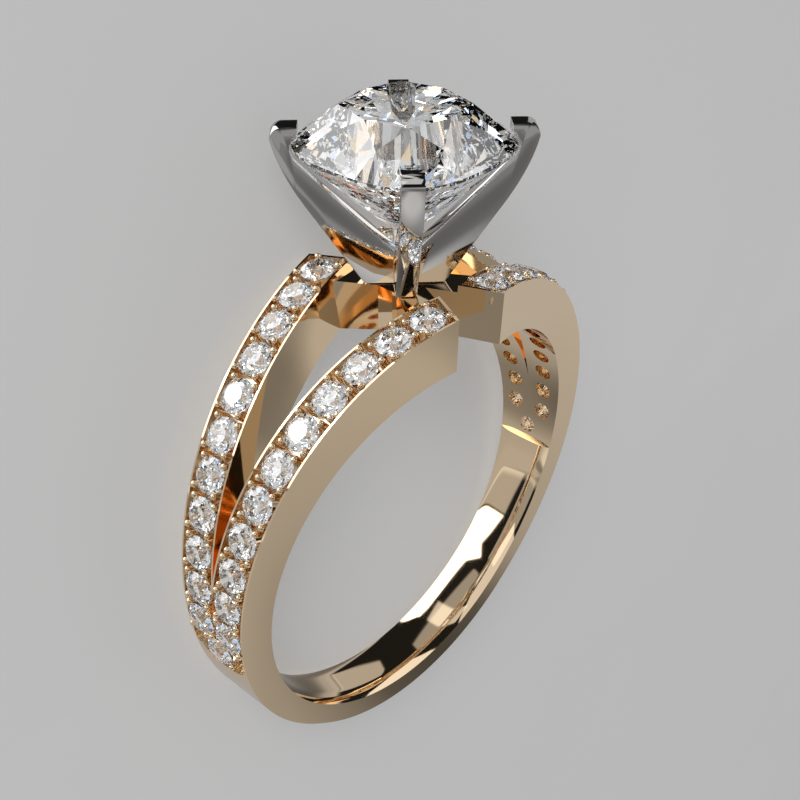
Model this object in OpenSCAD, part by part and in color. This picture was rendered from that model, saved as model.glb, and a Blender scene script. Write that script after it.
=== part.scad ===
// Split shank ring with a four-blade head, a cushion cut centre stone and rows of small round stones.
//
// The ring is modelled upright: X runs across the finger, Y along it and Z up to the stone, with the
// middle of the finger hole at the origin. The module lying() then turns it on its side, as it comes
// to rest: on the ends of two arms and the bottom edge of the band. The origin of the finished part is
// on the table, under the middle of the space that the ring takes.

/* [Finger hole] */
// Radius of the finger hole
hole_r = 8.65; // [8.55:0.05:8.75]

/* [Band] */
// Outer radius of the plain lower band
band_r = 9.75; // [9.7:0.05:9.85]
// Half the width of the plain lower band
band_half_w = 1.2; // [1.15:0.01:1.25]
// Outer radius of the two shoulders
shoulder_r = 10.3; // [10.25:0.05:10.4]
// Height of the shoulders' centre above the middle of the finger hole
shoulder_rise = 0.7; // [0.65:0.05:0.75]

/* [Split arms] */
// Width of one arm
arm_w = 1.7; // [1.66:0.01:1.74]
// Angle from the bottom at which the band begins to widen
flare_start = 40; // [38:1:42]
// How far each side flares out, in the even part of the curve
flare_even = 2.23; // [2.2:0.01:2.26]
// How far each side flares out, in the part that gathers near the head
flare_late = 0.54; // [0.52:0.01:0.56]
// Distance from the middle at which the end faces of two arms meet
notch_start = 1.05; // [1:0.05:1.1]
// Slope of the end faces, along the finger for each unit across it
notch_slope = 2.08; // [2:0.04:2.16]

/* [Gallery] */
// Height of the flat top that carries the head
gallery_z = 10.7; // [10.65:0.05:10.75]
// Half the distance between the two side notches
waist_half_x = 1.03; // [1:0.01:1.06]
// Half the flat width of a side notch
waist_half_y = 0.35; // [0.3:0.05:0.4]

/* [Head] */
// Thickness of the blades
blade_t = 0.77; // [0.74:0.01:0.8]
// Height of the flat tips
tip_z = 16.7; // [16.65:0.05:16.75]
// Distance of the widest point of a blade from the middle
tip_r = 4.6; // [4.55:0.01:4.65]
// Length of the flat on a tip
tip_flat = 0.54; // [0.5:0.02:0.58]
// Distance of a blade's foot from the middle
foot_r = 1.47; // [1.45:0.01:1.5]
// Height at which the inner edges of the blades meet
vee_z = 11.6; // [11.55:0.05:11.65]
// Rise of the inner edges, for each unit outwards
vee_slope = 1.03; // [1.02:0.005:1.04]

/* [Centre stone] */
// Half the width of the stone
stone_half_w = 3.5; // [3.4:0.02:3.52]
// Half the width of the stone from corner to corner
stone_half_diag = 3.9; // [3.85:0.01:3.92]
// Height of the middle of the girdle
girdle_z = 15.95; // [15.93:0.01:15.97]
// Thickness of the girdle
girdle_t = 0.12; // [0.1:0.01:0.14]
// Height of the crown above the girdle
crown_h = 1.34; // [1.3:0.02:1.38]
// Depth of the pavilion below the girdle
pavilion_h = 3.45; // [3.35:0.05:3.5]

/* [Small stones] */
// Diameter of a small stone
melee_d = 1.36; // [1.34:0.01:1.37]
// Distance between the middles of neighbouring stones of a row
melee_pitch = 1.468; // [1.46:0.002:1.48]
// Distance of a row's first stone from the end of the row, along the arm
melee_start = 0.47; // [0.44:0.01:0.5]
// Number of stones in a row
row_count = 11; // [11:1:11]
// Depth of a stone's girdle below the surface of the arm
melee_sink = 0.04; // [0.02:0.01:0.06]

/* [Hidden] */

// Angles are measured round the hole from the bottom, so the head is at 180 degrees.
row_end_angle = 173;
split_angle = 100;
flare_span = 180 - flare_start;

function flare_part(a) = max(0, a - flare_start) / flare_span;
function half_width(a) =
    band_half_w + flare_even * pow(flare_part(a), 2) + flare_late * pow(flare_part(a), 4);
function half_gap(a) = half_width(a) - arm_w;

// A point of the shoulder's outer surface, by its angle round the shoulder's own centre.
function shoulder_point(a) = [shoulder_r * sin(a), shoulder_rise - shoulder_r * cos(a)];
// The angle round the hole's centre of the same point.
function hole_angle(a) = atan2(shoulder_point(a)[0], -shoulder_point(a)[1]);
// The row's end seen from the shoulder's centre, and the step from stone to stone.
row_end = row_end_angle - asin(shoulder_rise * sin(row_end_angle) / shoulder_r);
degrees_per_mm = 180 / (PI * shoulder_r);
function melee_angle(i) = row_end - (melee_start + i * melee_pitch) * degrees_per_mm;

// The two rows close up until their stones stand side by side, and one more stone ends them.
closest_y = 0.745;
function melee_y(i) = max(half_width(hole_angle(melee_angle(i))) - arm_w / 2, closest_y);
apex_step = 1.26;
apex_angle = melee_angle(row_count - 1) - apex_step * degrees_per_mm;

// The centre stone's table, and the small gap that is kept between pieces that touch.
table_scale = 0.575;
table_z = girdle_z + girdle_t / 2 + crown_h;
seat_gap = 0.03;

// How the finished ring lies: on two arms, where their ends meet the finger hole, and on the edge
// of the band's bottom.
lying_end = [for (a = [165:0.05:179])
    if (half_width(a) > notch_start + notch_slope * hole_r * sin(a)) a][0];
lying_end_y = half_width(lying_end);
lying_end_z = -hole_r * cos(lying_end);
tilt = atan((lying_end_y - band_half_w) / (lying_end_z + band_r));
lift = band_half_w * cos(tilt) + band_r * sin(tilt);
// How far the ring reaches past the finger hole's middle, towards the stone and away from it.
reach_front = table_z * cos(tilt) + stone_half_w * table_scale * sin(tilt);
reach_back = band_r * cos(tilt) + band_half_w * sin(tilt);

gold = "#c9a27a";
white_gold = "#a8a6a2";
diamond = "#e9eef2";

// A ring of cells round the hole: its sides follow a half width that changes with the angle.
// Its faces are slanted walls that point at the hole's middle line.
module fan(from, to, step, inner, outer, near, far) {
    count = ceil((to - from) / step);
    angles = [for (i = [0:count]) from + (to - from) * i / count];
    points = [for (a = angles)
        for (corner = [[inner, near(a)], [outer, near(a)], [outer, far(a)], [inner, far(a)]])
            [corner[0] * sin(a), corner[1], -corner[0] * cos(a)]];
    sides = [for (i = [0:count - 1]) for (j = [0:3])
        let (k = (j + 1) % 4, p = 4 * i)
        for (face = [[p + j, p + 4 + k, p + k], [p + j, p + 4 + j, p + 4 + k]]) face];
    last = 4 * count;
    ends = [[0, 1, 2, 3], [last + 3, last + 2, last + 1, last]];
    polyhedron(points, concat(sides, ends), convexity = 8);
}

// A flat outline in X and Z, pulled out both ways along Y.
module upright(width) {
    rotate([90, 0, 0]) linear_extrude(width, center = true) children();
}

// The ring seen along the finger, without its hole.
module side_outline() {
    circle(band_r, $fn = 180);
    translate([0, shoulder_rise]) circle(shoulder_r, $fn = 180);
}

// What the end faces of the arms leave open, in front of the head or behind it.
module end_notch() {
    reach = 6;
    linear_extrude(20) polygon([
        [0, notch_start],
        [(reach - notch_start) / notch_slope, reach],
        [-(reach - notch_start) / notch_slope, reach]]);
}

// The star that joins the four arms under the head. Its legs end inside the arms.
module gallery() {
    leg_y = 2.45;
    root_x = 1.98;
    root_y = 1.95;
    quarter = [[0, leg_y], [root_x + 0.25, leg_y], [root_x, root_y], [waist_half_x, waist_half_y]];
    right = concat(quarter, [for (i = [3:-1:0]) [quarter[i][0], -quarter[i][1]]]);
    left = [for (i = [6:-1:1]) [-right[i][0], right[i][1]]];
    foot_z = hole_r - 1.2;
    translate([0, 0, foot_z]) linear_extrude(gallery_z - foot_z) polygon(concat(right, left));
}

// The pocket under a small stone: a straight wall, a cone, and a hole through to the finger.
module seat() {
    pocket_r = melee_d / 2 + seat_gap;
    window_r = 0.36;
    rotate_extrude($fn = 48) polygon([
        [0, 0.6], [pocket_r, 0.6], [pocket_r, -melee_sink - 0.06],
        [window_r, -melee_sink - 0.62], [window_r, -3.2], [0, -3.2]]);
}

// Puts a piece on the outer surface of the right shoulder, its Z along the surface's own normal.
module on_shoulder(a, y) {
    spot = shoulder_point(a);
    translate([spot[0], y, spot[1]]) rotate([0, 180 - a, 0]) children();
}

// Every small stone's place on one shoulder.
module each_melee() {
    for (i = [0:row_count - 1])
        for (side = [-1, 1])
            on_shoulder(melee_angle(i), side * melee_y(i)) children();
    on_shoulder(apex_angle, 0) children();
}

module shank_upright() {
    reach = 1.5 * shoulder_r;
    // One side wall of the whole ring, and the walls of the gap between two arms.
    wall = function (a) half_width(abs(a));
    back_wall = function (a) -half_width(abs(a));
    gap_wall = function (a) half_gap(abs(a));
    back_gap_wall = function (a) -half_gap(abs(a));
    gap_start = [for (a = [split_angle:0.5:120]) if (half_gap(a) > 0.02) a][0];
    difference() {
        union() {
            difference() {
                intersection() {
                    upright(12) side_outline();
                    union() {
                        fan(-179.5, 0, 4, 0.6 * hole_r, reach, back_wall, wall);
                        fan(0, 179.5, 4, 0.6 * hole_r, reach, back_wall, wall);
                    }
                }
                fan(gap_start, 181, 4, 0.5 * hole_r, 1.1 * reach, back_gap_wall, gap_wall);
                fan(-181, -gap_start, 4, 0.5 * hole_r, 1.1 * reach, back_gap_wall, gap_wall);
            }
            gallery();
        }
        end_notch();
        mirror([0, 1, 0]) end_notch();
        rotate([90, 0, 0]) cylinder(r = hole_r, h = 14, center = true, $fn = 180);
        each_melee() seat();
        mirror([1, 0, 0]) each_melee() seat();
    }
}

// The outline of one blade pair, from foot to tips, notched for the girdle.
module blade_outline() {
    shoulder = 0.42;
    bend = [3.4, 13.65];
    bend_pull = [4.36, 15.1];
    side_top = [tip_r, tip_z - shoulder];
    bow = [for (i = [0:8]) let (t = i / 8)
        bend * pow(1 - t, 2) + bend_pull * 2 * t * (1 - t) + side_top * pow(t, 2)];
    tip_in = tip_r - shoulder - tip_flat;
    round_tip = [for (i = [1:8]) let (a = i * 90 / 8)
        [tip_r - shoulder + shoulder * cos(a), tip_z - shoulder + shoulder * sin(a)]];
    clear = 0.05;
    girdle_out = stone_half_diag + clear;
    half_t = girdle_t / 2 + clear;
    crown_slope = 0.81;
    seat_r = girdle_out - 0.12;
    inner = [[tip_in, tip_z],
        [tip_in, girdle_z + half_t + (girdle_out - tip_in) * crown_slope],
        [girdle_out, girdle_z + half_t],
        [girdle_out, girdle_z - half_t],
        [seat_r, vee_z + vee_slope * seat_r],
        [0, vee_z]];
    foot_z = gallery_z + seat_gap;
    half = concat([[0, foot_z], [foot_r, foot_z]], bow, round_tip, inner);
    polygon(half);
    mirror([1, 0]) polygon(half);
}

module head_upright() {
    rotate([0, 0, 45]) upright(blade_t) blade_outline();
    rotate([0, 0, -45]) upright(blade_t) blade_outline();
}

// The outline of a cushion: a rounded square with bowed sides.
corner_power = 1 / (0.5 - ln(stone_half_diag / stone_half_w) / ln(2));
function cushion_r(a) =
    stone_half_w / pow(pow(abs(cos(a)), corner_power) + pow(abs(sin(a)), corner_power), 1 / corner_power);
function cushion_ring(count, scale, z) = [for (i = [0:count - 1])
    let (a = 360 * i / count, r = cushion_r(a) * scale)
    [r * cos(a), r * sin(a), z]];

// Joins rings of points, from the top down, into one closed faceted solid.
// Neighbouring rings have the same count, or the lower one has twice the upper's.
function ring_start(counts, k) = k == 0 ? 0 : ring_start(counts, k - 1) + counts[k - 1];
function band_faces(upper, n, lower, m) = n == m
    ? [for (i = [0:n - 1]) let (j = (i + 1) % n)
        for (face = [[upper + i, upper + j, lower + j], [upper + i, lower + j, lower + i]]) face]
    : [for (i = [0:n - 1]) let (j = (i + 1) % n, p = 2 * i, back = (2 * i + m - 1) % m)
        for (face = [[upper + i, lower + p, lower + back], [upper + i, lower + p + 1, lower + p],
            [upper + i, upper + j, lower + p + 1]]) face];
module cut_gem(rings, culet) {
    counts = [for (ring = rings) len(ring)];
    points = [for (ring = rings) for (point = ring) point];
    bottom = len(points);
    last = len(rings) - 1;
    low = ring_start(counts, last);
    top_face = [for (i = [counts[0] - 1:-1:0]) i];
    bands = [for (k = [0:last - 1])
        for (face = band_faces(ring_start(counts, k), counts[k], ring_start(counts, k + 1),
            counts[k + 1])) face];
    tip = [for (i = [0:counts[last] - 1]) [low + i, low + (i + 1) % counts[last], bottom]];
    polyhedron(concat(points, [culet]), concat([top_face], bands, tip), convexity = 4);
}

module center_stone_upright() {
    bezel_scale = 0.84;
    knee_scale = 0.72;
    top = girdle_z + girdle_t / 2;
    low = girdle_z - girdle_t / 2;
    cut_gem([
        cushion_ring(8, table_scale, table_z),
        cushion_ring(16, bezel_scale, top + 0.5 * crown_h),
        cushion_ring(32, 1, top),
        cushion_ring(32, 1, low),
        cushion_ring(32, knee_scale, low - 0.34 * pavilion_h)],
        [0, 0, low - pavilion_h]);
}

// A small round brilliant, its girdle at height zero.
module melee() {
    r = melee_d / 2;
    function round_ring(count, radius, z) = [for (i = [0:count - 1])
        [radius * cos(360 * i / count), radius * sin(360 * i / count), z]];
    cut_gem([
        round_ring(8, 0.56 * r, 0.36 * r),
        round_ring(16, r, 0.03 * r),
        round_ring(16, r, -0.03 * r)],
        [0, 0, -0.86 * r]);
}

module pave_upright() {
    each_melee() translate([0, 0, -melee_sink]) melee();
}

// Lays the upright ring on its side, in the middle of the space that it takes.
module lying() {
    translate([0, (reach_back - reach_front) / 2, lift]) rotate([tilt - 90, 0, 0]) children();
}

module shank() {
    color(gold) lying() shank_upright();
}

module head() {
    color(white_gold) lying() head_upright();
}

module center_stone() {
    color(diamond) lying() center_stone_upright();
}

module pave_left() {
    color(diamond) lying() mirror([1, 0, 0]) pave_upright();
}

module pave_right() {
    color(diamond) lying() pave_upright();
}

shank();
head();
center_stone();
pave_left();
pave_right();
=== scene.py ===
import math

import bmesh
import bpy
import numpy as np
from mathutils import Matrix, Vector


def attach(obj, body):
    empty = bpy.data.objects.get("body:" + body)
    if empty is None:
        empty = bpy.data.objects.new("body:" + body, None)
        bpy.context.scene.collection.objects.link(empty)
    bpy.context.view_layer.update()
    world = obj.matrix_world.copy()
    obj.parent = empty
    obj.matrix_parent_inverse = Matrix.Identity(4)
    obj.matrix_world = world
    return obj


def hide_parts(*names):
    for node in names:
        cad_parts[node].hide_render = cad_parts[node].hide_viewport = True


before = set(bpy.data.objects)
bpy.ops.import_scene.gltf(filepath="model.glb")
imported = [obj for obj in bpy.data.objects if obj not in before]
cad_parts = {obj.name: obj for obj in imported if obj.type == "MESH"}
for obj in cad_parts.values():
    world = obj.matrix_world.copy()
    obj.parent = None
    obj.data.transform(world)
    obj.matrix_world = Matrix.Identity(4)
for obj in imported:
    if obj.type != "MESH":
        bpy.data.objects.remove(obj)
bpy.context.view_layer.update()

# The ring is drawn upright, in millimetres: X across the finger, Y along it and Z up to the stone,
# from the middle of the finger hole. lay() puts that into the part's own frame, in metres. Angles
# are in degrees, from the ring's lowest point up to the stone, the same on both sides. They turn
# round the hole's middle, but those of the shoulders and the small stones round the shoulders'.

HOLE_R = 8.65
BAND_R = 9.75
BAND_HALF_W = 1.2
SHOULDER_R = 10.3
SHOULDER_RISE = 0.7
ARM_W = 1.7
FLARE_START = 40
FLARE_EVEN = 2.23
FLARE_LATE = 0.54
NOTCH_START = 1.05
NOTCH_SLOPE = 2.08
GALLERY_Z = 10.7
WAIST_HALF_X = 1.03
WAIST_HALF_Y = 0.35
BLADE_T = 0.77
TIP_Z = 16.7
TIP_R = 4.6
TIP_FLAT = 0.54
FOOT_R = 1.47
VEE_Z = 11.6
VEE_SLOPE = 1.03
STONE_HALF_W = 3.5
STONE_HALF_DIAG = 3.9
GIRDLE_Z = 15.95
GIRDLE_T = 0.12
CROWN_H = 1.34
PAVILION_H = 3.45
TABLE_SCALE = 0.575
MELEE_D = 1.36
MELEE_PITCH = 1.468
MELEE_START = 0.47
ROW_COUNT = 11
MELEE_SINK = 0.04
MELEE_TABLE_SCALE = 0.56
MELEE_CROWN_H = 0.225
MELEE_GIRDLE_T = 0.04
MELEE_PAVILION_H = 0.565
ROW_MIN_Y = 0.745
APEX_STEP = 1.26
ROW_END_ANGLE = 173
SEAT_GAP = 0.03

# Details that only this model has: the rows' channels, the beads, and the shape inside the hole.
# The lower band bulges a little inwards, has rounded edges, and ends in a ledge at LEDGE_ANGLE.
WALL_T = 0.078
CHANNEL_DEPTH = 0.50
ROW_END_WALL = 0.11
ROW_TIP = 1.0
BEAD_ALONG = 0.57
BEAD_ACROSS = 0.53
CROWN = 0.07
COMFORT = 0.15
COMFORT_REACH = 0.65
LEDGE_ANGLE = 81.3
LEDGE_EARLY = 0.05
WINDOW_R = HOLE_R + CROWN + COMFORT
SPARE = 0.45
GAP_LEAN = 0.07
GAP_FLOOR_R = 7.6

# Turned outlines, as radius and height over the shoulder. A stone's seat ends in a window to the
# finger hole, and the seats stay just clear of each other.
SEAT = [
    (0, 0.5),
    (0.728, 0.5),
    (0.728, -0.02),
    (0.705, -0.32),
    (0.40, -0.68),
    (0.40, -3.0),
    (0, -3.0),
]
BEAD = [
    (0, 0.13),
    (0.055, 0.12),
    (0.10, 0.09),
    (0.13, 0.04),
    (0.14, -0.02),
    (0.14, -0.54),
    (0, -0.54),
]


def half_width(a):
    t = max(0.0, a - FLARE_START) / (180 - FLARE_START)
    return BAND_HALF_W + FLARE_EVEN * t**2 + FLARE_LATE * t**4


def half_gap(a):
    return half_width(a) - ARM_W


def shoulder_point(a):
    t = math.radians(a)
    return SHOULDER_R * math.sin(t), SHOULDER_RISE - SHOULDER_R * math.cos(t)


def hole_angle(a):
    x, z = shoulder_point(a)
    return math.degrees(math.atan2(x, -z))


def outer_r(a):
    t = math.radians(a)
    c = -math.cos(t)
    shoulder = SHOULDER_RISE * c + math.sqrt(SHOULDER_R**2 - (SHOULDER_RISE * math.sin(t)) ** 2)
    return max(shoulder, BAND_R)


ROW_END = ROW_END_ANGLE - math.degrees(
    math.asin(SHOULDER_RISE * math.sin(math.radians(ROW_END_ANGLE)) / SHOULDER_R)
)
DEG_PER_MM = 180 / (math.pi * SHOULDER_R)


def melee_angle(i):
    return ROW_END - (MELEE_START + i * MELEE_PITCH) * DEG_PER_MM


def row_y(a):
    return max(half_width(hole_angle(a)) - ARM_W / 2, ROW_MIN_Y)


APEX_ANGLE = melee_angle(ROW_COUNT - 1) - APEX_STEP * DEG_PER_MM
TABLE_Z = GIRDLE_Z + GIRDLE_T / 2 + CROWN_H


def lying():
    """How the ring lies, worked out as in the part's source: the placing, and its turn alone."""
    a = 165.0
    while half_width(a) <= NOTCH_START + NOTCH_SLOPE * HOLE_R * math.sin(math.radians(a)):
        a += 0.05
    end_y = half_width(a)
    end_z = -HOLE_R * math.cos(math.radians(a))
    tilt = math.atan((end_y - BAND_HALF_W) / (end_z + BAND_R))
    lift = BAND_HALF_W * math.cos(tilt) + BAND_R * math.sin(tilt)
    front = TABLE_Z * math.cos(tilt) + STONE_HALF_W * TABLE_SCALE * math.sin(tilt)
    back = BAND_R * math.cos(tilt) + BAND_HALF_W * math.sin(tilt)
    turn = Matrix.Rotation(tilt - math.pi / 2, 4, "X")
    move = Matrix.Translation((0, (back - front) / 2, lift))
    return Matrix.Scale(0.001, 4) @ move @ turn, turn.to_3x3()


LAY, TURN = lying()


def lay(p):
    return LAY @ Vector(p)


def new_object(name, verts, faces):
    mesh = bpy.data.meshes.new(name)
    mesh.from_pydata([tuple(v) for v in verts], [], faces)
    mesh.update()
    obj = bpy.data.objects.new(name, mesh)
    bpy.context.scene.collection.objects.link(obj)
    return obj


def outward(obj):
    bm = bmesh.new()
    bm.from_mesh(obj.data)
    bmesh.ops.recalc_face_normals(bm, faces=bm.faces)
    bm.to_mesh(obj.data)
    bm.free()
    return obj


def close_slits(obj):
    """Joins corners that the booleans left a hair apart."""
    bm = bmesh.new()
    bm.from_mesh(obj.data)
    bmesh.ops.remove_doubles(bm, verts=bm.verts, dist=2e-5)
    bm.to_mesh(obj.data)
    bm.free()


def drop(obj):
    bpy.data.objects.remove(obj, do_unlink=True)


def cut(obj, cutter, how="DIFFERENCE"):
    """Applies an exact boolean to obj and removes the cutter."""
    mod = obj.modifiers.new("cut", "BOOLEAN")
    mod.operation = how
    mod.solver = "EXACT"
    mod.object = cutter
    graph = bpy.context.evaluated_depsgraph_get()
    mesh = bpy.data.meshes.new_from_object(obj.evaluated_get(graph))
    obj.modifiers.remove(mod)
    old = obj.data
    obj.data = mesh
    bpy.data.meshes.remove(old)
    drop(cutter)
    return obj


def sweep(name, angles, section):
    """A closed body round the hole. section(a) gives its corners (radius, y), always as many."""
    verts, faces = [], []
    n = 0
    for a in angles:
        t = math.radians(a)
        loop = section(a)
        n = len(loop)
        verts += [(r * math.sin(t), y, -r * math.cos(t)) for r, y in loop]
    for i in range(len(angles) - 1):
        for j in range(n):
            k = (j + 1) % n
            faces.append((i * n + j, i * n + k, (i + 1) * n + k, (i + 1) * n + j))
    faces.append(tuple(range(n)))
    faces.append(tuple(reversed(range(len(verts) - n, len(verts)))))
    return outward(new_object(name, verts, faces))


def prism(name, outline, z0, z1):
    n = len(outline)
    verts = [(x, y, z0) for x, y in outline] + [(x, y, z1) for x, y in outline]
    faces = [(i, (i + 1) % n, n + (i + 1) % n, n + i) for i in range(n)]
    faces += [tuple(range(n)), tuple(reversed(range(n, 2 * n)))]
    return outward(new_object(name, verts, faces))


def span(start, stop, step):
    count = max(1, math.ceil((stop - start) / step))
    return [start + (stop - start) * i / count for i in range(count + 1)]


def notch(inset=0.0):
    """What the end faces of two arms leave open in front, as an outline in X and Y."""
    start = NOTCH_START - inset * math.hypot(1, NOTCH_SLOPE)
    reach = 6.5
    x = (reach - start) / NOTCH_SLOPE
    return [(0, start), (x, reach), (-x, reach)]


def on_shoulder(a, y, side):
    """The place of a small stone: Z along the surface's normal, X along the arm."""
    x, z = shoulder_point(a)
    t = math.radians(a)
    normal = Vector((side * math.sin(t), 0, -math.cos(t)))
    along = Vector((-side * math.cos(t), 0, -math.sin(t)))
    across = normal.cross(along)
    m = Matrix((along, across, normal)).transposed().to_4x4()
    return Matrix.Translation((side * x, y, z)) @ m


def melee_places(side):
    places = []
    for i in range(ROW_COUNT):
        a = melee_angle(i)
        for flank in (-1, 1):
            places.append(on_shoulder(a, flank * row_y(a), side))
    places.append(on_shoulder(APEX_ANGLE, 0, side))
    return places


def lathe(profile, places, sides, name):
    """Turned bodies, one at each place. The profile starts and ends on the axis."""
    verts, faces = [], []
    for m in places:
        rings = []
        for r, z in profile:
            if r == 0:
                rings.append([len(verts)])
                verts.append(m @ Vector((0, 0, z)))
            else:
                rings.append(list(range(len(verts), len(verts) + sides)))
                verts += [
                    m @ Vector((r * math.cos(u), r * math.sin(u), z))
                    for u in (2 * math.pi * k / sides for k in range(sides))
                ]
        for low, high in zip(rings, rings[1:]):
            for k in range(sides):
                j = (k + 1) % sides
                if len(low) == 1:
                    faces.append((low[0], high[k], high[j]))
                elif len(high) == 1:
                    faces.append((low[k], high[0], low[j]))
                else:
                    faces.append((low[k], high[k], high[j], low[j]))
    return outward(new_object(name, verts, faces))


# The shank: a swept ring, split, notched and pierced.


def body_section(a):
    """The band before it is cut. Above the ledge it keeps spare metal inside, for a clean cut."""
    a = abs(a)
    r, w = outer_r(a), half_width(a)
    inner = []
    count = 26
    for i in range(count + 1):
        y = w - 2 * w * i / count
        if a < LEDGE_ANGLE:
            over = max(0.0, abs(y) - (w - COMFORT_REACH)) / COMFORT_REACH
            inner.append((HOLE_R + CROWN * (y / w) ** 2 + COMFORT * over**2, y))
        else:
            inner.append((WINDOW_R - SPARE, y))
    return [(r, -w), (r, w)] + inner


def build_shank():
    fine = span(0, LEDGE_ANGLE - 0.01, 1.0) + span(LEDGE_ANGLE + 0.01, 178.5, 1.0)
    angles = [-a for a in reversed(fine)] + fine[1:]
    body = sweep("shank_visual", angles, body_section)
    leg_y, root_x, root_y = 2.45, 1.98, 1.95
    quarter = [(0, leg_y), (root_x + 0.25, leg_y), (root_x, root_y), (WAIST_HALF_X, WAIST_HALF_Y)]
    right = quarter + [(x, -y) for x, y in reversed(quarter)]
    star = right + [(-x, y) for x, y in reversed(right[1:-1])]
    gap_start = 100.0
    while half_gap(gap_start) <= 0.0:
        gap_start += 0.1

    def gap_section(a):
        a = min(a, 360 - a)
        edge, outside = outer_r(a), 16
        mouth = max(0.004, half_gap(a))
        floor_w = max(0.002, mouth - GAP_LEAN * (edge - GAP_FLOOR_R))
        half = [(GAP_FLOOR_R, floor_w), (edge, mouth), (outside, mouth)]
        return [(GAP_FLOOR_R, -floor_w)] + half + [(outside, -mouth), (edge, -mouth)]

    cut(body, sweep("gap", span(gap_start, 360 - gap_start, 1.0), gap_section))
    cut(body, prism("star", star, HOLE_R - 1.2, GALLERY_Z), "UNION")
    cut(body, prism("front", notch(), 0, 25))
    cut(body, prism("back", [(x, -y) for x, y in notch()], 0, 25))

    def window_section(a):
        return [(5, -8), (WINDOW_R, -8), (WINDOW_R, 8), (5, 8)]

    # It starts just before the body's own step, so that its end makes the ledge.
    ledge = LEDGE_ANGLE - LEDGE_EARLY
    cut(body, sweep("inside", span(ledge, 360 - ledge, 1.0), window_section))

    # The rows' channels, with a thin wall left on each side.
    apex = hole_angle(APEX_ANGLE)
    tip = apex - ROW_TIP * DEG_PER_MM

    for side in (-1, 1):
        for flank in (-1, 1):

            def channel_section(a):
                a = abs(a)
                near = max(half_gap(a) + WALL_T, -0.05)
                far = half_width(a) - WALL_T
                along = (a - apex) / DEG_PER_MM
                if along < 0:
                    far = min(far, math.sqrt(max(1e-4, 1.0 - along**2)) * far + 1e-3)
                low, outside = outer_r(a) - CHANNEL_DEPTH, 13
                loop = [(low, near), (outside, near), (outside, far), (low, far)]
                return [(r, flank * y) for r, y in loop]

            steps = span(tip + 0.01, apex, 0.35) + span(apex, 179, 1.0)[1:]
            channel = sweep("channel", [side * a for a in steps], channel_section)
            ends = [(x, flank * y) for x, y in notch(ROW_END_WALL)]
            cut(channel, prism("ends", ends, 0, 25))
            cut(body, channel)

    for side in (-1, 1):
        cut(body, lathe(SEAT, melee_places(side), 32, "seats"))
    close_slits(body)
    return body


def wall_normals(points, lean):
    """Normals of a side wall. The walls of the gap also lean."""
    out = []
    for x, y, z in points:
        r = math.hypot(x, z)
        u = abs(math.degrees(math.atan2(x, -z)))
        slope = (half_width(u + 0.1) - half_width(u - 0.1)) / math.radians(0.2) / r
        s = 1 if x >= 0 else -1
        way = np.array([s * (-z) / r, 0, abs(x) / r])
        n = np.array([0, 1.0 if y >= 0 else -1.0, 0]) - slope * way
        if lean:
            n -= GAP_LEAN * np.array([x / r, 0, z / r])
        out.append(n / np.linalg.norm(n))
    return np.array(out)


def round_normals(points, rise):
    """Normals of a surface turned about an axis along Y, at the height rise."""
    out = points.copy()
    out[:, 1] = 0
    out[:, 2] -= rise
    return out / np.linalg.norm(out, axis=1)[:, None]


def analytic_normals(obj):
    """Exact normals on the curved surfaces, so that polished metal shows no mesh."""
    mesh = obj.data
    mesh.shade_smooth()
    mesh.set_sharp_from_angle(angle=math.radians(28))
    count = len(mesh.loops)
    corner = np.zeros(count * 3)
    mesh.corner_normals.foreach_get("vector", corner)
    corner = corner.reshape(-1, 3)
    co = np.array([v.co[:] for v in mesh.vertices])
    for poly in mesh.polygons:
        c = np.array(poly.center[:])
        g = np.array(poly.normal[:])
        loops = list(poly.loop_indices)
        p = co[[mesh.loops[i].vertex_index for i in loops]]
        spoke = np.hypot(c[0], c[2])
        if spoke < 1:
            continue
        a = np.degrees(np.arctan2(abs(c[0]), -c[2]))
        lean = half_gap(a) > 0 and abs(c[1]) < half_width(a) - ARM_W / 2
        outside = spoke > WINDOW_R + 0.3
        found = None
        w = wall_normals([c], lean)[0]
        if abs(w.dot(g)) > 0.994:
            found = wall_normals(p, lean) * (1 if w.dot(g) > 0 else -1)
        else:
            rise = SHOULDER_RISE if outside and outer_r(a) > BAND_R + 1e-6 else 0.0
            n = round_normals(c[None], rise)[0]
            if n.dot(g) > 0.995 and outside:
                found = round_normals(p, rise)
            elif n.dot(g) < -0.995 and a > LEDGE_ANGLE and abs(spoke - WINDOW_R) < 0.02:
                found = -round_normals(p, 0.0)
        if found is not None:
            corner[loops] = found
    return corner


def place(obj, normals=None):
    """Lays a ring-frame mesh in the part's frame and keeps its normals."""
    mesh = obj.data
    mesh.transform(LAY)
    if normals is not None:
        turned = normals @ np.array(TURN).T
        mesh.normals_split_custom_set([tuple(n) for n in turned])
    mesh.update()


# Materials.


def principled(name):
    mat = bpy.data.materials.new(name)
    mat.use_nodes = True
    tree = mat.node_tree
    return mat, tree, tree.nodes["Principled BSDF"]


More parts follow.
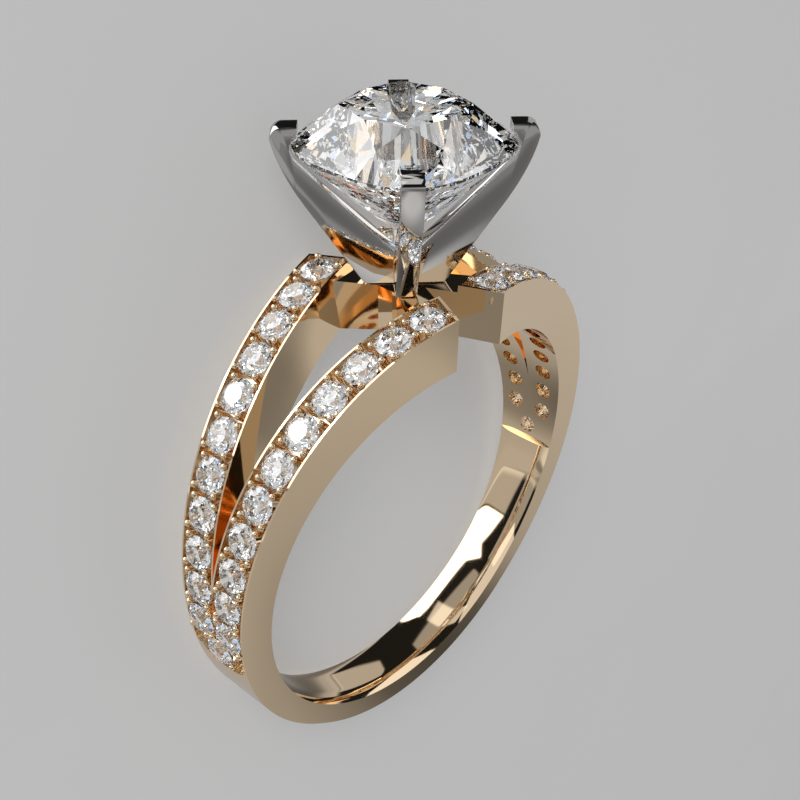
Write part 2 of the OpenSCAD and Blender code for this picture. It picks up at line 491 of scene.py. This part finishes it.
def polished(name, colour, shade, roughness):
    """A polished metal: faint cloudiness in its colour, and the finest scratches in its gloss."""
    mat, tree, shader = principled(name)
    new, link = tree.nodes.new, tree.links.new
    shader.inputs["Metallic"].default_value = 1.0
    coords = new("ShaderNodeTexCoord")
    cloud = new("ShaderNodeTexNoise")
    cloud.inputs["Scale"].default_value = 260.0
    cloud.inputs["Detail"].default_value = 3.0
    link(coords.outputs["Object"], cloud.inputs["Vector"])
    mix = new("ShaderNodeMix")
    mix.data_type = "RGBA"
    mix.inputs["A"].default_value = (*colour, 1)
    mix.inputs["B"].default_value = (*shade, 1)
    link(cloud.outputs["Fac"], mix.inputs["Factor"])
    link(mix.outputs["Result"], shader.inputs["Base Color"])
    lines = new("ShaderNodeTexNoise")
    lines.inputs["Scale"].default_value = 2600.0
    lines.inputs["Detail"].default_value = 4.0
    stretch = new("ShaderNodeMapping")
    stretch.inputs["Scale"].default_value = (1.0, 0.25, 1.6)
    link(coords.outputs["Object"], stretch.inputs["Vector"])
    link(stretch.outputs["Vector"], lines.inputs["Vector"])
    span_r = new("ShaderNodeMapRange")
    span_r.inputs["To Min"].default_value = roughness * 0.7
    span_r.inputs["To Max"].default_value = roughness * 1.4
    link(lines.outputs["Fac"], span_r.inputs["Value"])
    link(span_r.outputs["Result"], shader.inputs["Roughness"])
    return mat


def cut_diamond(name):
    """Clear, very bright stone whose gloss takes a little colour."""
    mat, tree, shader = principled(name)
    new, link = tree.nodes.new, tree.links.new
    shader.inputs["Transmission Weight"].default_value = 1.0
    shader.inputs["IOR"].default_value = 2.42
    shader.inputs["Roughness"].default_value = 0.0
    coords = new("ShaderNodeTexCoord")
    cloud = new("ShaderNodeTexNoise")
    cloud.inputs["Scale"].default_value = 900.0
    link(coords.outputs["Object"], cloud.inputs["Vector"])
    ramp = new("ShaderNodeValToRGB")
    ramp.color_ramp.elements[0].color = (0.96, 0.98, 1.0, 1)
    ramp.color_ramp.elements[1].color = (1.0, 0.99, 0.97, 1)
    link(cloud.outputs["Fac"], ramp.inputs["Fac"])
    link(ramp.outputs["Color"], shader.inputs["Base Color"])
    return mat


GOLD = polished("gold_polish", (0.97, 0.76, 0.52), (0.94, 0.73, 0.49), 0.05)
# The rows' gold is rougher, and it is painted paler and less orange than the polish: painted light
# on the channels' shade and warm interreflection.
SATIN_GOLD_PAINTED_PALE = polished("gold_in_the_rows", (0.92, 0.82, 0.68), (0.82, 0.71, 0.56), 0.16)
WHITE_GOLD = polished("white_gold_polish", (0.66, 0.64, 0.615), (0.60, 0.58, 0.56), 0.05)
DIAMOND = cut_diamond("diamond")


def finish_piece(obj, mat, node):
    obj.data.materials.clear()
    obj.data.materials.append(mat)
    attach(obj, "root")
    if node:
        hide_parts(node)


def row_metal(mesh):
    """Gives the channels and seats of the rows their own, softer gloss, in a paler gold that is
    painted light lifting their shade.
    """
    mesh.materials.append(SATIN_GOLD_PAINTED_PALE)
    for poly in mesh.polygons:
        x, y, z = poly.center
        a = math.degrees(math.atan2(abs(x), -z))
        depth = outer_r(a) - math.hypot(x, z)
        inside = half_gap(a) + WALL_T / 2 < abs(y) < half_width(a) - WALL_T / 2
        if 0.02 < depth < 0.65 and inside:
            poly.material_index = 1


shank = build_shank()
shank_normals = analytic_normals(shank)
finish_piece(shank, GOLD, "shank")
row_metal(shank.data)
place(shank, shank_normals)

# Small beads of gold that hold the stones.


def bead_places(side):
    """Four beads round every stone."""
    places = []
    for m in melee_places(side):
        for along in (-BEAD_ALONG, BEAD_ALONG):
            for across in (-BEAD_ACROSS, BEAD_ACROSS):
                places.append(m @ Matrix.Translation((along, across, 0)))
    return places


def build_beads():
    beads = lathe(BEAD, bead_places(-1) + bead_places(1), 12, "beads")
    beads.data.shade_smooth()
    beads.data.set_sharp_from_angle(angle=math.radians(60))
    place(beads)
    return beads


finish_piece(build_beads(), GOLD, None)

# The head: two crossing plates.


def blade_outline():
    corner = 0.42
    bend, pull, top = (3.4, 13.65), (4.36, 15.1), (TIP_R, TIP_Z - corner)
    bow = []
    for i in range(33):
        t = i / 32
        bow.append(tuple(
            b * (1 - t) ** 2 + p * 2 * t * (1 - t) + q * t**2 for b, p, q in zip(bend, pull, top)
        ))
    arc = [
        (TIP_R - corner + corner * math.cos(u), TIP_Z - corner + corner * math.sin(u))
        for u in (math.pi / 2 * k / 16 for k in range(1, 17))
    ]
    tip_in = TIP_R - corner - TIP_FLAT
    clear = 0.04
    out = STONE_HALF_DIAG + clear
    half_t = GIRDLE_T / 2 + clear
    seat_r = out - 0.12
    foot_z = GALLERY_Z + SEAT_GAP
    half = [(FOOT_R, foot_z)] + bow + arc + [
        (tip_in, TIP_Z),
        (tip_in, GIRDLE_Z + half_t + (out - tip_in) * 0.81),
        (out, GIRDLE_Z + half_t),
        (out, GIRDLE_Z - half_t),
        (seat_r, VEE_Z + VEE_SLOPE * seat_r),
    ]
    return half + [(0, VEE_Z)] + [(-x, z) for x, z in reversed(half)]


def build_head():
    outline = blade_outline()
    n = len(outline)
    plates = []
    for turn in (45, -45):
        c, s = math.cos(math.radians(turn)), math.sin(math.radians(turn))
        verts = []
        for y in (-BLADE_T / 2, BLADE_T / 2):
            verts += [(x * c - y * s, x * s + y * c, z) for x, z in outline]
        faces = [(i, (i + 1) % n, n + (i + 1) % n, n + i) for i in range(n)]
        faces += [tuple(range(n)), tuple(reversed(range(n, 2 * n)))]
        plates.append(outward(new_object("head_visual", verts, faces)))
    head = cut(plates[0], plates[1], "UNION")
    head.name = "head_visual"
    soften = head.modifiers.new("soften", "BEVEL")
    soften.width = 0.03
    soften.segments = 2
    soften.limit_method = "ANGLE"
    soften.angle_limit = math.radians(40)
    graph = bpy.context.evaluated_depsgraph_get()
    head.data = bpy.data.meshes.new_from_object(head.evaluated_get(graph))
    head.modifiers.clear()
    head.data.shade_smooth()
    head.data.set_sharp_from_angle(angle=math.radians(24))
    place(head)
    return head


finish_piece(build_head(), WHITE_GOLD, "head")

# The stones, cut as brilliants.


def brilliant(radius_at, table, crown, girdle, pavilion, edge_steps):
    """A brilliant's corners and faces, round the origin. radius_at(angle) outlines the girdle."""

    def at(u, scale, z):
        t = math.radians(u)
        r = radius_at(u) * scale
        return (r * math.cos(t), r * math.sin(t), z)

    verts, faces = [], []

    def add(p):
        verts.append(p)
        return len(verts) - 1

    top, low = girdle / 2, -girdle / 2
    n = 8 * 2 * edge_steps
    table_ring = [add(at(45 * k, table, top + crown)) for k in range(8)]
    mid_scale = table + (1 - table) * 0.47
    mid_ring = [add(at(45 * k + 22.5, mid_scale, top + crown * 0.56)) for k in range(8)]
    upper = [add(at(360 * j / n, 1, top)) for j in range(n)]
    lower = [add(at(360 * j / n, 1, low)) for j in range(n)]
    waist = [add(at(22.5 * k + 11.25, 0.70, low - pavilion * 0.335)) for k in range(16)]
    knee = [add(at(45 * k + 22.5, 0.28, low - pavilion * 0.745)) for k in range(8)]
    culet = add((0, 0, low - pavilion))
    faces.append(tuple(reversed(table_ring)))
    for k in range(8):
        k2 = (k + 1) % 8
        g, g2 = 2 * k * edge_steps, (2 * k + 2) * edge_steps
        faces.append((table_ring[k], table_ring[k2], mid_ring[k]))
        faces.append((table_ring[k2], mid_ring[k], upper[g2 % n], mid_ring[k2]))
        for j in range(g, g2):
            faces.append((mid_ring[k], upper[j], upper[(j + 1) % n]))
            faces.append((waist[j // edge_steps], lower[j], lower[(j + 1) % n]))
        w1, w2, w3 = waist[2 * k], waist[2 * k + 1], waist[2 * k2]
        faces.append((w1, lower[(g + edge_steps) % n], w2))
        faces.append((w2, lower[g2 % n], w3))
        faces.append((w1, w2, knee[k]))
        faces.append((w2, w3, knee[k2]))
        faces.append((w2, knee[k2], knee[k]))
        faces.append((culet, knee[k], knee[k2]))
    for j in range(n):
        i = (j + 1) % n
        faces.append((upper[j], lower[j], lower[i], upper[i]))
    return verts, faces


def cushion_radius(u):
    power = 1 / (0.5 - math.log(STONE_HALF_DIAG / STONE_HALF_W) / math.log(2))
    t = math.radians(u)
    return STONE_HALF_W / (abs(math.cos(t)) ** power + abs(math.sin(t)) ** power) ** (1 / power)


def build_center():
    verts, faces = brilliant(cushion_radius, TABLE_SCALE, CROWN_H, GIRDLE_T, PAVILION_H, 3)
    stone = outward(new_object("center_stone_visual", verts, faces))
    stone.data.transform(Matrix.Translation((0, 0, GIRDLE_Z)))
    stone.data.shade_flat()
    place(stone)
    return stone


def build_rows(side, name):
    verts, faces = brilliant(
        lambda u: MELEE_D / 2, MELEE_TABLE_SCALE, MELEE_CROWN_H, MELEE_GIRDLE_T, MELEE_PAVILION_H, 1
    )
    all_verts, all_faces = [], []
    for m in melee_places(side):
        base = len(all_verts)
        sunk = m @ Matrix.Translation((0, 0, -MELEE_SINK))
        all_verts += [sunk @ Vector(v) for v in verts]
        all_faces += [tuple(base + i for i in f) for f in faces]
    rows = outward(new_object(name, all_verts, all_faces))
    rows.data.shade_flat()
    place(rows)
    return rows


finish_piece(build_center(), DIAMOND, "center_stone")
finish_piece(build_rows(-1, "pave_left_visual"), DIAMOND, "pave_left")
finish_piece(build_rows(1, "pave_right_visual"), DIAMOND, "pave_right")

# The floor, and a soft glowing sheet under the upright ring's foot that only its polish mirrors: a
# painted reflection of a floor, with painted shadow round the foot.


def square(name, half, z):
    corners = [(-half, -half, z), (half, -half, z), (half, half, z), (-half, half, z)]
    return new_object(name, corners, [(0, 1, 2, 3)])


def floor():
    """Pale paper. It glows a little, which keeps the ring's shade on it soft."""
    obj = square("floor", 1.2, 0)
    mat, tree, shader = principled("floor_paper")
    new, link = tree.nodes.new, tree.links.new
    coords = new("ShaderNodeTexCoord")
    grain = new("ShaderNodeTexNoise")
    grain.inputs["Scale"].default_value = 60.0
    link(coords.outputs["Object"], grain.inputs["Vector"])
    ramp = new("ShaderNodeValToRGB")
    ramp.color_ramp.elements[0].color = (0.315, 0.315, 0.315, 1)
    ramp.color_ramp.elements[1].color = (0.325, 0.325, 0.325, 1)
    link(grain.outputs["Fac"], ramp.inputs["Fac"])
    link(ramp.outputs["Color"], shader.inputs["Base Color"])
    shader.inputs["Roughness"].default_value = 0.45
    shader.inputs["Specular IOR Level"].default_value = 0.3
    link(ramp.outputs["Color"], shader.inputs["Emission Color"])
    shader.inputs["Emission Strength"].default_value = 0.80
    obj.data.materials.append(mat)
    obj.visible_glossy = False
    obj.visible_transmission = False


floor()


SHEET_Z = -9.9

# The sheet's painted shade and painted light: centre in X and Y, where the change begins and ends
# in mm, and how strong it is in the middle, below 1 for painted shade and above 1 for painted
# light.
SHEET_PAINTED_SHADE_AND_LIGHT = [
    ((-26, -46), 6, 44, 0.62),
    ((-13, -15), 5, 13, 1.75),
    ((0, 9), 3, 9, 0.60),
    ((-31, -11), 6, 13, 0.50),
    ((65, 70), 25, 60, 0.70),
    ((26, -31), 5, 13, 0.68),
]


def foot_sheet():
    """A pale glowing sheet under the upright ring's foot, with painted shadow where the ring would
    shade it.
    """
    obj = square("foot_sheet", 90, SHEET_Z)
    mat = bpy.data.materials.new("foot_sheet")
    mat.use_nodes = True
    tree = mat.node_tree
    tree.nodes.clear()
    new, link = tree.nodes.new, tree.links.new
    out = new("ShaderNodeOutputMaterial")
    glow = new("ShaderNodeEmission")
    coords = new("ShaderNodeTexCoord")
    centre = new("ShaderNodeMapping")
    foot = lay((2, -1, SHEET_Z))
    centre.inputs["Location"].default_value = tuple(-foot)
    size = new("ShaderNodeVectorMath")
    size.operation = "LENGTH"
    ramp = new("ShaderNodeValToRGB")
    reach = new("ShaderNodeMapRange")
    reach.inputs["From Max"].default_value = 0.03
    link(coords.outputs["Object"], centre.inputs["Vector"])
    link(centre.outputs["Vector"], size.inputs[0])
    link(size.outputs["Value"], reach.inputs["Value"])
    link(reach.outputs["Result"], ramp.inputs["Fac"])
    # Painted shade as well: the sheet grows darker from 22.5 to 31.5 mm out along the ring's -Y.
    front = new("ShaderNodeVectorMath")
    front.operation = "DOT_PRODUCT"
    front.inputs[1].default_value = tuple(TURN @ Vector((0, -1, 0)))
    edge = new("ShaderNodeMapRange")
    edge.interpolation_type = "SMOOTHSTEP"
    edge.inputs["From Min"].default_value = 0.0225
    edge.inputs["From Max"].default_value = 0.0315
    edge.inputs["To Min"].default_value = 1.0
    edge.inputs["To Max"].default_value = 0.58
    link(centre.outputs["Vector"], front.inputs[0])
    link(front.outputs["Value"], edge.inputs["Value"])
    strength = edge.outputs["Result"]
    # Each zone multiplies in its painted shade or painted light.
    for (x, y), inner, outer, factor in SHEET_PAINTED_SHADE_AND_LIGHT:
        move = new("ShaderNodeMapping")
        move.inputs["Location"].default_value = tuple(-lay((x, y, SHEET_Z)))
        far = new("ShaderNodeVectorMath")
        far.operation = "LENGTH"
        fade = new("ShaderNodeMapRange")
        fade.interpolation_type = "SMOOTHSTEP"
        fade.inputs["From Min"].default_value = inner / 1000
        fade.inputs["From Max"].default_value = outer / 1000
        fade.inputs["To Min"].default_value = factor
        fade.inputs["To Max"].default_value = 1.0
        product = new("ShaderNodeMath")
        product.operation = "MULTIPLY"
        link(coords.outputs["Object"], move.inputs["Vector"])
        link(move.outputs["Vector"], far.inputs[0])
        link(far.outputs["Value"], fade.inputs["Value"])
        link(strength, product.inputs[0])
        link(fade.outputs["Result"], product.inputs[1])
        strength = product.outputs["Value"]
    link(strength, glow.inputs["Strength"])
    link(ramp.outputs["Color"], glow.inputs["Color"])
    link(glow.outputs["Emission"], out.inputs["Surface"])
    # Painted contact shadow: nearly black at the foot, growing paler out to 30 mm.
    ramp.color_ramp.elements[0].color = (0.06, 0.06, 0.06, 1)
    ramp.color_ramp.elements[1].color = (0.48, 0.48, 0.48, 1)
    for at, value in ((0.12, 0.10), (0.20, 0.22), (0.27, 0.33), (0.36, 0.385), (0.60, 0.43)):
        ramp.color_ramp.elements.new(at).color = (value, value, value, 1)
    place(obj)
    obj.data.materials.append(mat)
    obj.visible_camera = False
    obj.visible_diffuse = False
    obj.visible_transmission = False
    obj.visible_shadow = False


foot_sheet()

# The light. Polished metal and stones mirror a studio that stands round the upright ring: dark
# above, pale below, with soft windows and boxes. Everything matt gets one even light.

# Windows with straight sides: brightness, and corners (az, el) clockwise as the ring sees them. az
# turns from the ring's back towards its right, el is above its foot.
PANES = [
    (2.6, [(-66, 23), (-60, 34), (-43, 48), (-22, 56), (8, 59), (22, 56), (25, -2), (-9, -3)]),
    (0.55, [(-70, -3), (-66, 23), (-9, -3)]),
]
PANE_EDGE = 0.02

# Boxes: az, el, half width, half height (both as tangents) and brightness.
BOXES = [
    (-43, 40, 0.12, 0.12, 5.0),
    (0, 76, 0.5, 0.2, 0.42),
    (10, 86, 0.10, 0.45, 0.8),
    (-95, 25, 0.36, 0.5, 0.42),
    (-130, 50, 0.45, 0.40, 0.9),
    (120, 38, 0.35, 0.36, 1.2),
    (172, 17, 0.38, 0.13, 1.2),
    (64, 16, 0.10, 0.28, 0.55),
]
BOX_EDGE = 0.03


def heading(az, el):
    a, e = math.radians(az), math.radians(el)
    return Vector((math.sin(a) * math.cos(e), math.cos(a) * math.cos(e), math.sin(e)))


def studio():
    scene = bpy.context.scene
    world = bpy.data.worlds.new("studio")
    scene.world = world
    world.use_nodes = True
    tree = world.node_tree
    tree.nodes.clear()
    new, link = tree.nodes.new, tree.links.new
    out = new("ShaderNodeOutputWorld")
    coords = new("ShaderNodeTexCoord")

    def dot(v):
        n = new("ShaderNodeVectorMath")
        n.operation = "DOT_PRODUCT"
        n.inputs[1].default_value = tuple(TURN @ Vector(v))
        link(coords.outputs["Generated"], n.inputs[0])
        return n.outputs["Value"]

    def math_node(op, a, b=None):
        n = new("ShaderNodeMath")
        n.operation = op
        for i, v in enumerate((a, b)):
            if v is None:
                continue
            if isinstance(v, (int, float)):
                n.inputs[i].default_value = v
            else:
                link(v, n.inputs[i])
        return n.outputs[0]

    def ramp(value, low, high, to_low, to_high):
        n = new("ShaderNodeMapRange")
        n.interpolation_type = "SMOOTHSTEP"
        n.inputs["From Min"].default_value = low
        n.inputs["From Max"].default_value = high
        n.inputs["To Min"].default_value = to_low
        n.inputs["To Max"].default_value = to_high
        link(value, n.inputs["Value"])
        return n.outputs["Result"]

    up = dot((0, 0, 1))
    total = ramp(up, -0.06, 0.04, 0.5, 0.015)

    for strength, corners in PANES:
        ways = [heading(az, el) for az, el in corners]
        mask = None
        for one, two in zip(ways, ways[1:] + ways[:1]):
            inside = ramp(dot(one.cross(two).normalized()), 0.0, PANE_EDGE, 0, 1)
            mask = inside if mask is None else math_node("MULTIPLY", mask, inside)
        total = math_node("ADD", total, math_node("MULTIPLY", mask, strength))

    for az, el, half_w, half_h, strength in BOXES:
        middle = heading(az, el)
        side = Vector((math.cos(math.radians(az)), -math.sin(math.radians(az)), 0))
        d = dot(middle)
        ahead = math_node("GREATER_THAN", d, 0.05)
        u = math_node("ABSOLUTE", math_node("DIVIDE", dot(side), d))
        v = math_node("ABSOLUTE", math_node("DIVIDE", dot(middle.cross(side)), d))
        across = ramp(u, half_w, half_w + BOX_EDGE, 1, 0)
        upright = ramp(v, half_h, half_h + BOX_EDGE, 1, 0)
        mask = math_node("MULTIPLY", math_node("MULTIPLY", across, upright), ahead)
        total = math_node("ADD", total, math_node("MULTIPLY", mask, strength))

    glow = new("ShaderNodeBackground")
    link(total, glow.inputs["Strength"])
    even = new("ShaderNodeBackground")
    even.inputs["Color"].default_value = (1.0, 1.0, 1.0, 1)
    even.inputs["Strength"].default_value = 0.42

    # What the stones gather: many small panels, most of them pale, a few bright and tinted, and
    # some dark.
    cells = new("ShaderNodeTexVoronoi")
    cells.inputs["Scale"].default_value = 5.0
    link(coords.outputs["Generated"], cells.inputs["Vector"])
    pick = new("ShaderNodeSeparateColor")
    link(cells.outputs["Color"], pick.inputs["Color"])
    level = new("ShaderNodeValToRGB")
    level.color_ramp.interpolation = "CONSTANT"
    level.color_ramp.elements[0].color = (0.32, 0.32, 0.33, 1)
    level.color_ramp.elements[1].position = 0.08
    level.color_ramp.elements[1].color = (0.66, 0.66, 0.65, 1)
    for at, value in ((0.50, 0.52), (0.70, 0.80), (0.90, 1.0)):
        level.color_ramp.elements.new(at).color = (value, value, value, 1)
    link(pick.outputs[0], level.inputs["Fac"])
    tint = new("ShaderNodeMix")
    tint.data_type = "RGBA"
    tint.blend_type = "MULTIPLY"
    link(ramp(pick.outputs[0], 0.68, 0.72, 0.05, 0.6), tint.inputs["Factor"])
    link(level.outputs["Color"], tint.inputs["A"])
    hue = new("ShaderNodeValToRGB")
    hue.color_ramp.interpolation = "CONSTANT"
    hue.color_ramp.elements[0].color = (0.22, 0.52, 1.0, 1)
    hue.color_ramp.elements[1].position = 0.36
    hue.color_ramp.elements[1].color = (1.0, 1.0, 1.0, 1)
    hue.color_ramp.elements.new(0.68).color = (1.0, 0.60, 0.18, 1)
    link(pick.outputs[1], hue.inputs["Fac"])
    link(hue.outputs["Color"], tint.inputs["B"])
    panels = new("ShaderNodeBackground")
    link(tint.outputs["Result"], panels.inputs["Color"])
    link(ramp(pick.outputs[0], 0.88, 0.92, 1.1, 3.0), panels.inputs["Strength"])

    path = new("ShaderNodeLightPath")
    gloss = new("ShaderNodeMixShader")
    link(path.outputs["Is Glossy Ray"], gloss.inputs["Fac"])
    link(even.outputs["Background"], gloss.inputs[1])
    link(glow.outputs["Background"], gloss.inputs[2])
    mix = new("ShaderNodeMixShader")
    link(path.outputs["Is Transmission Ray"], mix.inputs["Fac"])
    link(gloss.outputs["Shader"], mix.inputs[1])
    link(panels.outputs["Background"], mix.inputs[2])
    link(mix.outputs["Shader"], out.inputs["Surface"])


studio()


def lamp(name, at, to, size, power):
    data = bpy.data.lights.new(name, "AREA")
    data.size = size
    data.energy = power
    obj = bpy.data.objects.new(name, data)
    obj.location = at
    obj.rotation_euler = (Vector(to) - Vector(at)).to_track_quat("-Z", "Y").to_euler()
    obj.visible_glossy = False
    obj.visible_transmission = False
    bpy.context.scene.collection.objects.link(obj)


lamp("key", (-0.210, 0.270, 0.170), (0, 0, 0), 0.20, 1.1)


# The camera stands to the upright ring as the photograph's did. Its place, turn and lens were
# solved from the ring's own circles in the photo.


def camera():
    az, el, roll = math.radians(-48.252), math.radians(34.755), math.radians(0.285)
    back = Vector((math.sin(az) * math.cos(el), -math.cos(az) * math.cos(el), math.sin(el)))
    right = Vector((math.cos(az), math.sin(az), 0))
    up = back.cross(right)
    right, up = (
        right * math.cos(roll) + up * math.sin(roll),
        up * math.cos(roll) - right * math.sin(roll),
    )
    data = bpy.data.cameras.new("photo_view")
    data.sensor_width = 36
    data.lens = 1140.95 / 800 * 36
    data.clip_start = 0.001
    data.clip_end = 10
    obj = bpy.data.objects.new("photo_view", data)
    turn = TURN @ Matrix((right, up, back)).transposed()
    obj.matrix_world = Matrix.Translation(lay((-27.747, -24.595, 30.973))) @ turn.to_4x4()
    bpy.context.scene.collection.objects.link(obj)
    bpy.context.scene.camera = obj


camera()

bpy.context.scene.view_settings.view_transform = "Standard"

# Light goes on through facets and between polished walls for longer than usual.
bpy.context.scene.cycles.max_bounces = 32
bpy.context.scene.cycles.transmission_bounces = 32
bpy.context.scene.cycles.glossy_bounces = 10
